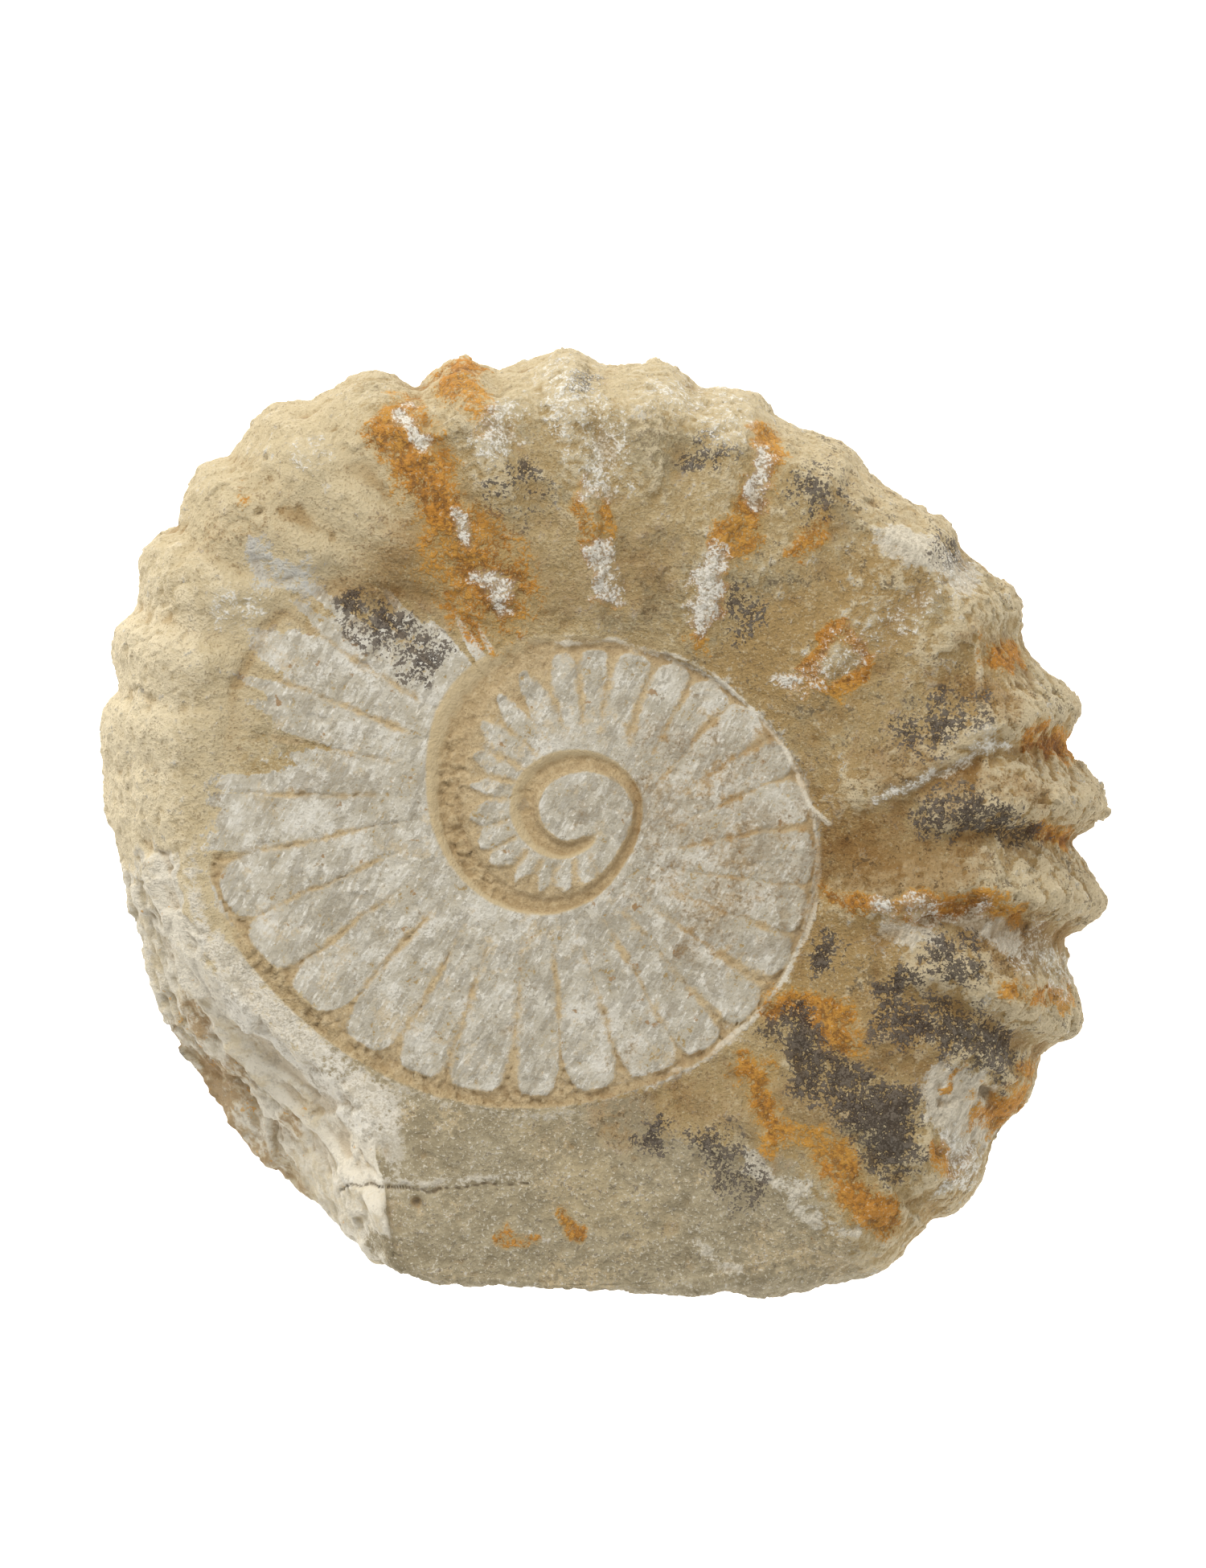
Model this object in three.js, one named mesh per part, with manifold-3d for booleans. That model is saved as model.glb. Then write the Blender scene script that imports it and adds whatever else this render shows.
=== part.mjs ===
// A carved ammonite fossil in its limestone: one solid rock that lies on its ground back, spiral side up.
// Millimetres, +Z up. The shape is laid out in polar form about the spiral's centre: angles are in degrees,
// anticlockwise from +X as seen from above, and the shell opens clockwise.
import * as THREE from "three";
import { mergeVertices } from "three/addons/utils/BufferGeometryUtils.js";
import Module from "manifold-3d";

// Driving dimensions
const groundHeight = 48; // the hand-ground face that holds the inner whorls
const equatorHeight = 22; // where the rock is widest
const backHeight = 5; // where the side turns under into the back
const footShare = 0.62; // radius of the flat ground foot, as a share of the back's radius
const columns = 144; // steps round the rock

// Closed outlines: [angle, millimetres], joined by a smooth periodic curve.
const outline = [
  [0, 72.8], [15, 71.3], [33, 68.4], [48, 65.8], [61, 64.8], [84, 65.2], [98, 65.8], [110.5, 66],
  [116, 70.2], [130, 73], [150, 72], [165, 70.2], [180, 70.4], [195, 67.6], [213, 69.4], [225, 69.9],
  [240, 71.2], [250, 73], [262, 69.8], [272, 70.2], [285, 73.8], [297, 79.2], [315, 80.4], [330, 77.8],
  [342, 75.8], [353, 73.4],
];
// Where the upper face ends: a round shoulder on the shell, a broken edge on the left, a sawn one below.
const shoulder = [
  [0, 57.5], [12, 60], [34, 61], [50, 58], [70, 55], [90, 54], [105, 55], [120, 58], [140, 60.5],
  [160, 59], [180, 56.5], [200, 57.5], [215, 54.5], [228, 52.8], [238, 54], [243, 60], [248, 69],
  [262, 68.5], [280, 69], [300, 71], [315, 68], [330, 62], [345, 58],
];
// The edge of the ground face: the seam of the outer whorl, then the worn left flank.
const groundEdge = [
  [0, 33.4], [30, 28.2], [60, 24.3], [88, 22.8], [105, 24], [120, 31], [135, 44], [150, 50], [180, 51],
  [195, 53], [210, 48], [240, 45.2], [270, 42], [300, 39.9], [330, 36.9],
];
// The back's edge on the underside.
const backEdge = [[0, 60], [60, 53], [120, 56], [180, 54], [225, 57], [260, 63], [300, 68], [330, 64]];
// How square the turn from the upper face to the side is: 1 a straight bevel, 2 round, 4 nearly square.
const squareness = [
  [0, 1.6], [40, 1.6], [90, 1.9], [150, 2.1], [180, 1.6], [205, 1.15], [235, 1.15], [252, 3.5], [278, 4],
  [300, 2.6], [330, 1.8],
];
// How far the outer whorl's flank swells above the ground face.
const swell = [
  [0, 3.2], [45, 3.4], [90, 3], [120, 1.6], [150, 0.2], [200, 0], [260, 0.3], [295, 1.6], [330, 2.8],
];

// Ribs of the outer whorl: angle at the outline, angle at the seam, rise at the outline, and where on the
// flank the rib starts (0 at the seam, 1 at the shoulder). Long and short ribs alternate.
const ribs = [
  { edge: 11, seam: -1, rise: 4.6, start: 0 },
  { edge: 25, seam: 17, rise: 3.2, start: 0.6 },
  { edge: 37, seam: 27, rise: 1.8, start: 0 },
  { edge: 53, seam: 45, rise: 1.8, start: 0.5 },
  { edge: 67, seam: 55, rise: 2.2, start: 0 },
  { edge: 78.5, seam: 72, rise: 2.4, start: 0.6 },
  { edge: 91, seam: 84, rise: 2.8, start: 0 },
  { edge: 105, seam: 98, rise: 3.2, start: 0.5 },
  { edge: 115, seam: 108, rise: 1.8, start: 0 },
  { edge: 128, seam: 122, rise: 1.8, start: 0.3 },
  { edge: 138.5, seam: 134, rise: 2.2, start: 0.2 },
  { edge: 149, seam: 145, rise: 2.2, start: 0.1 },
  { edge: 159.5, seam: 156, rise: 2.2, start: 0.1 },
  { edge: 169.5, seam: 167, rise: 1.6, start: 0.1 },
  { edge: 303, seam: 292, rise: 1.6, start: 0 },
  { edge: 314, seam: 308, rise: 2, start: 0.5 },
  { edge: 327, seam: 315, rise: 1.8, start: 0 },
  { edge: 336, seam: 330, rise: 5.5, start: 0.5 },
  { edge: 349, seam: 338, rise: 6.2, start: 0 },
  { edge: 360, seam: 355, rise: 6.3, start: 0.55 },
];
const ribGentle = 5; // half width in degrees of a rib's leading side
const ribSteep = 2.8; // and of its trailing side
const ribSpread = 1.7; // how much wider a rib is at the seam than at the shoulder
const flankRibShare = 0.7; // a rib's height on the flat flank, as a share of its rise at the outline

// The carved spiral: its radius at every 60 degrees of turn, from the inner end outwards.
const spiralStart = 309;
const spiralStep = 60;
const spiralRadii = [4.9, 6.3, 6.9, 6.2, 6.4, 8.4, 9.7, 14.8, 17.6, 21, 23.9, 32.3, 39.2, 44.5, 54];
const spiralGroove = 1.5; // radius of the groove's round section
const grooveLift = 0.4; // the cutter's axis runs this far above the ground face
const seamLift = 0.7; // and this much higher still along the outer whorl's shallow seam
const spiralSegments = 130;

// The notches between the carved petals of the ground whorls, from the outer end inwards.
const petalCount = 38;
const firstPetal = 144.5; // angle of the first notch's wide end
const petalStep = 10.2; // degrees to the next one, which grow a little each time
const petalGrowth = 0.078;
const petalNotch = 1.4; // radius of the largest notches at their wide end
const petalLift = 0.7; // height of a notch's axis above the face at that end; it falls to none at the point
const petalMiss = 0.12; // how far its line passes from the centre, as a share of its outer end's radius
const petalShare = 0.8; // share of the whorl's width that a notch runs over

const degrees = Math.PI / 180;
const clamp = (x, low, high) => Math.min(high, Math.max(low, x));
const smooth = (x) => x * x * (3 - 2 * x);
const mix = (a, b, share) => a + (b - a) * share;

// A smooth periodic curve through [angle, value] points.
function around(points, angle) {
  const count = points.length;
  const at = ((angle % 360) + 360) % 360;
  let i = points.findLastIndex((p) => p[0] <= at);
  if (i < 0) i = count - 1;
  const point = (k) => {
    const turn = Math.floor(k / count);
    const [a, value] = points[k - turn * count];
    return [a + 360 * turn, value];
  };
  const [a0, v0] = point(i - 1);
  const [a1, v1] = point(i);
  const [a2, v2] = point(i + 1);
  const [a3, v3] = point(i + 2);
  const span = a2 - a1;
  const t = clamp((at < a1 ? at + 360 - a1 : at - a1) / span, 0, 1);
  const slope1 = ((v2 - v0) / (a2 - a0)) * span;
  const slope2 = ((v3 - v1) / (a3 - a1)) * span;
  const t2 = t * t;
  const t3 = t2 * t;
  const rise = 3 * t2 - 2 * t3;
  return mix(v1, v2, rise) + slope1 * (t3 - 2 * t2 + t) + slope2 * (t3 - t2);
}

// How far the ribs lift the surface at an angle; flank is 0 at the seam and 1 from the shoulder outwards.
function ribLift(angle, flank) {
  let lift = 0;
  for (const rib of ribs) {
    const crest = mix(rib.seam, rib.edge, flank);
    const off = ((((angle - crest) % 360) + 540) % 360) - 180;
    const width = (off > 0 ? ribGentle : ribSteep) * mix(ribSpread, 1, flank);
    const grown = smooth(clamp((flank - rib.start) / 0.35 + 0.15, 0, 1)) * mix(0.5, 1, flank);
    lift += (rib.rise * grown * Math.exp(-((off / width) ** 2))) ** 4;
  }
  return lift ** 0.25; // nearly the highest of the ribs, without a crease between them
}

// One section of the rock at an angle, from the top's centre to the back's centre, as [radius, height].
function section(angle) {
  const edge = around(groundEdge, angle);
  const turn = around(shoulder, angle);
  const wide = around(outline, angle);
  const back = around(backEdge, angle);
  const power = 2 / around(squareness, angle);
  const points = [];
  const rise = around(swell, angle);
  const flankHeight = (share) => groundHeight + rise * Math.sin(Math.PI * 0.8 * share) ** 1.2;
  points.push([edge, groundHeight]);
  for (const share of [0.06, 0.28, 0.52, 0.76, 1]) {
    const lift = ribLift(angle, share) * flankRibShare;
    points.push([mix(edge, turn, share), flankHeight(share) + lift]);
  }
  const top = flankHeight(1);
  for (let step = 1; step <= 6; step++) {
    const bend = (step / 6) * 90 * degrees;
    const lift = ribLift(angle, 1);
    const out = Math.sin(bend);
    points.push([
      mix(turn, wide, out ** power) + lift * out,
      mix(equatorHeight, top, Math.cos(bend) ** power) + lift * flankRibShare * Math.cos(bend),
    ]);
  }
  for (let step = 1; step <= 5; step++) {
    const bend = (step / 5) * 90 * degrees;
    const lift = ribLift(angle, 1) * Math.cos(bend) ** 1.5;
    points.push([mix(back, wide, Math.cos(bend)) + lift, mix(equatorHeight, backHeight, Math.sin(bend))]);
  }
  points.push([mix(back * footShare, back, 0.5), backHeight * 0.3]);
  points.push([back * footShare, 0]);
  return points;
}

// The closed skin of sections, with one point at each pole.
function rockSkin() {
  const sections = Array.from({ length: columns }, (_, i) => section((i * 360) / columns));
  const rows = sections[0].length;
  const positions = [0, 0, groundHeight];
  for (let row = 0; row < rows; row++) {
    for (let i = 0; i < columns; i++) {
      const [radius, height] = sections[i][row];
      const angle = (i / columns) * 2 * Math.PI;
      positions.push(radius * Math.cos(angle), radius * Math.sin(angle), height);
    }
  }
  positions.push(0, 0, 0);
  const at = (row, i) => 1 + row * columns + (i % columns);
  const foot = 1 + rows * columns;
  const faces = [];
  for (let i = 0; i < columns; i++) {
    faces.push(0, at(0, i), at(0, i + 1));
    for (let row = 0; row + 1 < rows; row++) {
      faces.push(at(row, i), at(row + 1, i), at(row + 1, i + 1));
      faces.push(at(row, i), at(row + 1, i + 1), at(row, i + 1));
    }
    faces.push(at(rows - 1, i), foot, at(rows - 1, i + 1));
  }
  const skin = new THREE.BufferGeometry();
  skin.setAttribute("position", new THREE.Float32BufferAttribute(positions, 3));
  skin.setIndex(faces);
  return skin;
}

// The spiral's radius after a turn in degrees.
function spiralRadius(turn) {
  const place = clamp(turn / spiralStep, 0, spiralRadii.length - 1.0001);
  const i = Math.floor(place);
  const value = (k) => spiralRadii[clamp(k, 0, spiralRadii.length - 1)];
  const t = place - i;
  const slope1 = (value(i + 1) - value(i - 1)) / 2;
  const slope2 = (value(i + 2) - value(i)) / 2;
  return (
    value(i) * (2 * t ** 3 - 3 * t ** 2 + 1) +
    slope1 * (t ** 3 - 2 * t ** 2 + t) +
    value(i + 1) * (3 * t ** 2 - 2 * t ** 3) +
    slope2 * (t ** 3 - t ** 2)
  );
}

function polar(radius, angle, height) {
  return new THREE.Vector3(radius * Math.cos(angle * degrees), radius * Math.sin(angle * degrees), height);
}

// The round cutter that is swept along the spiral.
function spiralCutter() {
  const fullTurn = (spiralRadii.length - 1) * spiralStep;
  const path = new THREE.CatmullRomCurve3(
    Array.from({ length: 71 }, (_, i) => {
      const turn = (i / 70) * fullTurn;
      const lift = grooveLift + seamLift * smooth(clamp((turn - 500) / 80, 0, 1));
      return polar(spiralRadius(turn), spiralStart - turn, groundHeight + lift);
    }),
  );
  const round = new THREE.Shape();
  round.absarc(0, 0, spiralGroove, 0, 2 * Math.PI);
  return new THREE.ExtrudeGeometry(round, { steps: spiralSegments, curveSegments: 4, extrudePath: path });
}

// The pointed cutters between the petals: each lies along the face, with its wide end at the spiral.
function petalCutters() {
  return Array.from({ length: petalCount }, (_, k) => {
    const angle = firstPetal + petalStep * k + petalGrowth * k * k;
    const turn = spiralStart + 2 * 360 - angle;
    const outerRadius = Math.min(spiralRadius(turn), around(groundEdge, angle) - 2);
    const innerRadius = mix(outerRadius, spiralRadius(turn - 360), petalShare);
    const miss = petalMiss * outerRadius;
    const lean = (Math.asin(Math.min(miss / innerRadius, 1)) - Math.asin(petalMiss)) / degrees;
    const outer = polar(outerRadius, angle, groundHeight + petalLift);
    const inner = polar(innerRadius, angle - lean, groundHeight);
    const along = outer.clone().sub(inner);
    const cone = new THREE.ConeGeometry(petalNotch * clamp(outerRadius / 36, 0.55, 1), along.length(), 6);
    const down = new THREE.Vector3(0, -1, 0);
    cone.applyQuaternion(new THREE.Quaternion().setFromUnitVectors(down, along.clone().normalize()));
    const middle = inner.add(outer).multiplyScalar(0.5);
    return cone.translate(middle.x, middle.y, middle.z);
  });
}

const wasm = await Module();
wasm.setup();

function solid(geometry) {
  const bare = geometry.clone();
  bare.deleteAttribute("normal");
  bare.deleteAttribute("uv");
  const merged = mergeVertices(bare, 1e-4);
  return new wasm.Manifold(
    new wasm.Mesh({
      numProp: 3,
      vertProperties: merged.attributes.position.array,
      triVerts: new Uint32Array(merged.index.array),
    }),
  );
}

function geometryOf(manifold) {
  const { vertProperties, triVerts } = manifold.getMesh();
  const geometry = new THREE.BufferGeometry();
  geometry.setAttribute("position", new THREE.BufferAttribute(new Float32Array(vertProperties), 3));
  geometry.setIndex(new THREE.BufferAttribute(new Uint32Array(triVerts), 1));
  return geometry;
}

let rock = solid(rockSkin());
rock = rock.subtract(solid(spiralCutter()));
for (const cutter of petalCutters()) rock = rock.subtract(solid(cutter));

// The part's origin is the middle of its box, at the foot.
const geometry = geometryOf(rock);
geometry.computeBoundingBox();
const { min, max } = geometry.boundingBox;
geometry.translate(-(min.x + max.x) / 2, -(min.y + max.y) / 2, -min.z);
geometry.computeVertexNormals();

const fossil = new THREE.Mesh(
  geometry,
  new THREE.MeshStandardMaterial({ color: 0xb09a70, roughness: 0.9, metalness: 0 }),
);
fossil.name = "ammonite_fossil";

const ammonite = new THREE.Group();
ammonite.add(fossil);
export default ammonite;
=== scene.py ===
import math

import bpy
import numpy as np
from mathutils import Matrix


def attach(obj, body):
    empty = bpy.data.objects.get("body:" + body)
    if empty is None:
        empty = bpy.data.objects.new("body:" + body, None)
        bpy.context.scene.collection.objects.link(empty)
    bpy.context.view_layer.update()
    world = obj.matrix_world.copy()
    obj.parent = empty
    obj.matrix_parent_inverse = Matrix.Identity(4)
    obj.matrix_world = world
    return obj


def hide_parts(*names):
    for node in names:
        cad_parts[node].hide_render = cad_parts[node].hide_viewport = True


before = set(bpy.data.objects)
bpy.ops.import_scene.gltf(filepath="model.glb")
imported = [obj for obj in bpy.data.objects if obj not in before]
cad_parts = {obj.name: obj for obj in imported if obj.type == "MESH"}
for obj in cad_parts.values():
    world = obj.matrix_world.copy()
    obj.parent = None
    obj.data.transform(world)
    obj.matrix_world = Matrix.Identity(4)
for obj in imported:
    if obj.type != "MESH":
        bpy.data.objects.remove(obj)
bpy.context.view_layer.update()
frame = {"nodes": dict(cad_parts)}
print("frame loaded:", ", ".join(frame["nodes"]))

mm = 0.001

# camera, light and floor

studio = {
    "lens": 100,
    "sensor": 36,  # along the picture's long side
    "distance": 650,  # mm from the camera to the widest level of the rock
    "widestLevel": 24,
    "aim": (-0.5, 5.0),
    "floorSize": 3.0,  # this and the lights' sizes and places are in metres
    "floorGap": 0.5,  # mm that the floor lies under the rock
    "floorGlow": 1.0,
    "worldGlow": 0.53,
    "keyPower": 6.0,
    "keySize": 0.4,
    "keyPlace": (-0.3, 0.62, 0.6),
    "fillPower": 1.5,
    "fillPlace": (0.5, -0.3, 0.7),
}


def addLight(name, place, power, size, target=(0, 0, 0.03)):
    data = bpy.data.lights.new(name, "AREA")
    data.energy = power
    data.size = size
    lamp = bpy.data.objects.new(name, data)
    bpy.context.collection.objects.link(lamp)
    lamp.location = place
    aim = [t - p for t, p in zip(target, place)]
    across = math.hypot(aim[0], aim[1])
    lamp.rotation_euler = (math.atan2(across, -aim[2]), 0, math.atan2(aim[1], aim[0]) - math.pi / 2)


def buildStudio(s):
    scene = bpy.context.scene
    camera = bpy.data.objects.new("camera", bpy.data.cameras.new("camera"))
    camera.data.lens = s["lens"]
    camera.data.sensor_width = s["sensor"]
    camera.data.clip_end = 10
    x, y = s["aim"]
    camera.location = (x * mm, y * mm, (s["distance"] + s["widestLevel"]) * mm)
    bpy.context.collection.objects.link(camera)
    scene.camera = camera  # it looks straight down, with +Y at the top

    addLight("keyLight", s["keyPlace"], s["keyPower"], s["keySize"])
    addLight("fillLight", s["fillPlace"], s["fillPower"], s["keySize"])

    world = bpy.data.worlds.new("softRoom")
    world.use_nodes = True
    background = world.node_tree.nodes["Background"]
    background.inputs["Color"].default_value = (1, 1, 1, 1)
    background.inputs["Strength"].default_value = s["worldGlow"]
    scene.world = world
    scene.view_settings.view_transform = "Standard"

    half = s["floorSize"] / 2
    corners = [(-half, -half, 0), (half, -half, 0), (half, half, 0), (-half, half, 0)]
    mesh = bpy.data.meshes.new("floor")
    mesh.from_pydata(corners, [], [(0, 1, 2, 3)])
    floor = bpy.data.objects.new("floor", mesh)
    floor.location.z = -s["floorGap"] * mm
    bpy.context.collection.objects.link(floor)
    white = bpy.data.materials.new("lightTable")
    white.use_nodes = True
    skin = white.node_tree.nodes["Principled BSDF"]
    skin.inputs["Base Color"].default_value = (0.9, 0.9, 0.9, 1)
    skin.inputs["Roughness"].default_value = 0.9
    skin.inputs["Emission Color"].default_value = (1, 1, 1, 1)
    skin.inputs["Emission Strength"].default_value = s["floorGlow"]
    mesh.materials.append(white)


buildStudio(studio)
print("studio ready")

# the rock's shape, in mm; angles are in degrees, anticlockwise from +X about the spiral's centre

rock = {
    "centre": (-4.12, 1.76),  # the spiral's centre in the frame
    "gridCount": 540,  # steps across each of the two caps
    "quickCount": 180,
    "groundHeight": 48,
    "equatorHeight": 22,
    "backHeight": 5,
    "footShare": 0.62,
    "outline": [
        (0, 72.8), (15, 71.3), (33, 68.4), (48, 65.8), (61, 64.8), (84, 65.2), (98, 65.8), (110.5, 66),
        (116, 70.2), (130, 73), (150, 72), (165, 70.2), (180, 70.4), (195, 67.6), (213, 69.4), (225, 69.9),
        (240, 71.2), (250, 73), (262, 69.8), (272, 70.2), (285, 73.8), (297, 79.2), (315, 80.4),
        (330, 77.8), (342, 75.8), (353, 73.4),
    ],
    "shoulder": [  # where the upper face turns down into the side
        (0, 57.5), (12, 60), (34, 61), (50, 58), (70, 55), (90, 54), (105, 55), (120, 58), (140, 60.5),
        (160, 59), (180, 56.5), (200, 57.5), (215, 54.5), (228, 52.8), (238, 54), (243, 60), (248, 69),
        (262, 68.5), (280, 69), (300, 71), (315, 68), (330, 62), (345, 58),
    ],
    "groundEdge": [
        (0, 33.4), (30, 28.2), (60, 24.3), (88, 22.8), (105, 24), (120, 31), (135, 44), (150, 50),
        (180, 51), (195, 53), (210, 48), (240, 45.2), (270, 42), (300, 39.9), (330, 36.9),
    ],
    "backEdge": [(0, 60), (60, 53), (120, 56), (180, 54), (225, 57), (260, 63), (300, 68), (330, 64)],
    "squareness": [
        (0, 1.6), (40, 1.6), (90, 1.9), (150, 2.1), (180, 1.6), (205, 1.15), (235, 1.15), (252, 3.5),
        (278, 4), (300, 2.6), (330, 1.8),
    ],
    "swell": [
        (0, 3.2), (45, 3.4), (90, 3), (120, 1.6), (150, 0.2), (200, 0), (260, 0.3), (295, 1.6), (330, 2.8),
    ],
    # ribs: angle at the outline, angle at the seam, rise at the outline, where on the flank it starts
    "ribs": [
        (11, -1, 4.6, 0), (25, 17, 3.2, 0.6), (37, 27, 1.8, 0), (53, 45, 1.8, 0.5), (67, 55, 2.2, 0),
        (78.5, 72, 2.4, 0.6), (91, 84, 2.8, 0), (105, 98, 3.2, 0.5), (115, 108, 1.8, 0),
        (128, 122, 1.8, 0.3), (138.5, 134, 2.2, 0.2), (149, 145, 2.2, 0.1), (159.5, 156, 2.2, 0.1),
        (169.5, 167, 1.6, 0.1), (303, 292, 1.6, 0), (314, 308, 2, 0.5), (327, 315, 1.8, 0),
        (336, 330, 5.5, 0.5), (349, 338, 6.2, 0), (360, 355, 6.3, 0.55),
    ],
    "ribGentle": 5,
    "ribSteep": 2.8,
    "flankRibShare": 0.7,
}

carving = {
    "start": 309,  # angle of the spiral's inner end
    "step": 30,  # degrees of turn between the radii below
    "radii": [
        4.9, 5.2, 6.3, 6.7, 6.9, 6.7, 6.2, 6.05, 6.4, 7.2, 8.4, 8.75, 9.7, 12.2, 14.8, 16.6, 17.6, 18.5,
        21.0, 23.0, 23.9, 27.0, 32.3, 35.8, 39.2, 41.0, 44.5, 48.6, 54.0, 56.0, 57.0, 54.0,
    ],
    # the groove after a turn in degrees: half its width, its depth, and the soft bevel along its outer side
    "halfWidth": [
        (0, 0.25), (30, 0.9), (60, 1.1), (130, 1.3), (220, 1.2), (270, 1.0), (309, 0.7), (350, 0.9),
        (400, 1.4), (450, 1.9), (489, 2.2), (520, 2.1), (545, 1.5), (579, 0.9), (620, 0.6), (670, 0.5),
        (720, 0.6), (760, 0.9), (790, 1.2), (820, 1.2), (845, 0.8), (900, 0.7),
    ],
    "depth": [
        (0, 0.1), (25, 0.6), (130, 0.9), (300, 0.75), (400, 0.9), (500, 1.3), (540, 1.0), (575, 0.35),
        (600, 0.2), (700, 0.2), (740, 0.35), (790, 0.5), (815, 0.4), (845, 0), (900, 0),
    ],
    "bevel": [
        (0, 0.5), (60, 1.0), (130, 1.9), (220, 1.2), (300, 0.4), (400, 0.3), (450, 1.0), (490, 1.8),
        (530, 3.3), (550, 2.6), (575, 0.8), (600, 0.4), (900, 0.4),
    ],
    "firstPetal": 146.5,
    "petalStep": 10.2,
    "petalGrowth": 0.078,
    # how far the lines between petals pass from the centre, by the angle of their outer end
    "petalMiss": [
        (146, 0.5), (168, 0.5), (180, 1.5), (190, 4), (240, 5.5), (310, 5.5), (337, 8), (370, 6), (402, 5),
        (430, 2), (500, 1.5), (700, 1),
    ],
    "petalTip": 5,  # length of a petal's rounded outer tip
    "petalLine": 0.14,  # half width of the line between petals
    "petalDepth": 0.19,
    "petalCrown": 0.1,
}

lattice = np.random.default_rng(11).uniform(-1, 1, (64, 64, 64))


def bell(off, width):  # 1 where off is nothing, fading to none by about twice the width
    return np.exp(-((off / width) ** 2))


def smooth(x):
    x = np.clip(x, 0, 1)
    return x * x * (3 - 2 * x)


def mix(a, b, share):
    return a + (b - a) * share


def curve(px, py, slope, x):  # smooth curve through the points px, py with a slope at each
    i = np.clip(np.searchsorted(px, x, side="right") - 1, 0, len(px) - 2)
    span = px[i + 1] - px[i]
    t = (x - px[i]) / span
    bend = t * (1 - t)
    return mix(py[i], py[i + 1], smooth(t)) + span * bend * (slope[i] * (1 - t) - slope[i + 1] * t)


def along(points, x):  # the curve through points, level beyond its ends
    px, py = np.array(points, float).T
    slope = np.gradient(py, px)
    slope[0] = slope[-1] = 0
    return curve(px, py, slope, np.clip(x, px[0], px[-1]))


def around(points, angle):  # the closed curve through points, over a full turn
    before = [(a - 360, v) for a, v in points[-2:]]
    after = [(a + 360, v) for a, v in points[:3]]
    px, py = np.array(before + points + after, float).T
    slope = np.zeros(len(px))
    slope[1:-1] = (py[2:] - py[:-2]) / (px[2:] - px[:-2])
    return curve(px, py, slope, np.mod(angle, 360))


def noise(points, size, shift=0):  # soft lumps about as big as size, from -1 to 1
    q = points / size + shift * np.array((7.31, 3.17, 5.73))
    cell = np.floor(q).astype(np.int64)
    t = q - cell
    t = t * t * t * (t * (t * 6 - 15) + 10)
    (ax, ay, az), (bx, by, bz) = (np.moveaxis(corner & 63, -1, 0) for corner in (cell, cell + 1))
    levels = []
    for z in (az, bz):
        rows = [mix(lattice[ax, y, z], lattice[bx, y, z], t[..., 0]) for y in (ay, by)]
        levels.append(mix(*rows, t[..., 1]))
    return mix(*levels, t[..., 2])


def rough(points, size, octaves=3, shift=0, keep=0.5):  # lumps on lumps, each half the size of the last
    total = 0
    for k in range(octaves):
        total = total + noise(points, size / 2**k, shift + 1.7 * k) * keep**k
    return total


def folded(points, size, octaves=3, shift=0):  # sharp ridges with hollows between them, from 0 to about 1
    total = 0
    for k in range(octaves):
        total = total + (1 - 2 * np.abs(noise(points, size / 2**k, shift + 2.3 * k))) * 0.5**k
    return total / 1.8


def chipped(points, size, shift=0):  # flat chips about as big as size, each tilted its own way
    q = points / size + shift * np.array((7.31, 3.17, 5.73))
    cell = np.floor(q).astype(np.int64)
    nearest = np.full(q.shape[:-1], 1e9)
    height = np.zeros(q.shape[:-1])
    for step in np.ndindex(3, 3, 3):
        spot = cell + np.array(step) - 1
        a, b, c = spot[..., 0] & 63, spot[..., 1] & 63, spot[..., 2] & 63
        jitter = np.stack((lattice[a, b, c], lattice[b, c, a], lattice[c, a, b]), axis=-1)
        tilt = np.stack((lattice[b, a, c], lattice[c, b, a], lattice[a, c, b]), axis=-1)
        gap = q - spot - 0.5 - jitter * 0.45
        distance = np.sum(gap * gap, axis=-1)
        closer = distance < nearest
        nearest = np.where(closer, distance, nearest)
        height = np.where(closer, np.sum(gap * tilt, axis=-1) + jitter[..., 0] * 0.4, height)
    return height


def discGrid(count):  # a square grid pulled round into a disc: angle, and 0 in the middle to 1 at the rim
    step = np.linspace(-1, 1, count)
    x, y = np.meshgrid(step, step)
    wide = np.abs(x) > np.abs(y)
    reach = np.where(wide, np.abs(x), np.abs(y))
    safeX = np.where(x == 0, 1, x)
    safeY = np.where(y == 0, 1, y)
    sideways = 45 * y / safeX + np.where(x < 0, 180, 0)
    upright = 90 - 45 * x / safeY + np.where(y < 0, 180, 0)
    return np.where(wide, sideways, upright), reach * (0.75 + 0.25 * reach**2)  # finer towards the middle


def ribLift(angle, flank):  # 0 at the seam and 1 from the shoulder outwards
    lift = np.zeros_like(angle)
    for edge, seam, rise, start in rock["ribs"]:
        crest = mix(seam, edge, flank)
        off = np.mod(angle - crest + 180, 360) - 180
        width = np.where(off > 0, rock["ribGentle"], rock["ribSteep"]) * mix(1.7, 1, flank)
        grown = smooth((flank - start) / 0.35 + 0.15) * mix(0.5, 1, flank)
        lift = lift + (rise * grown * bell(off, width)) ** 4
    return lift**0.25  # nearly the highest of the ribs, without a crease between them


def spiralRadius(turn):
    return along([(i * carving["step"], r) for i, r in enumerate(carving["radii"])], turn)


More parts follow.
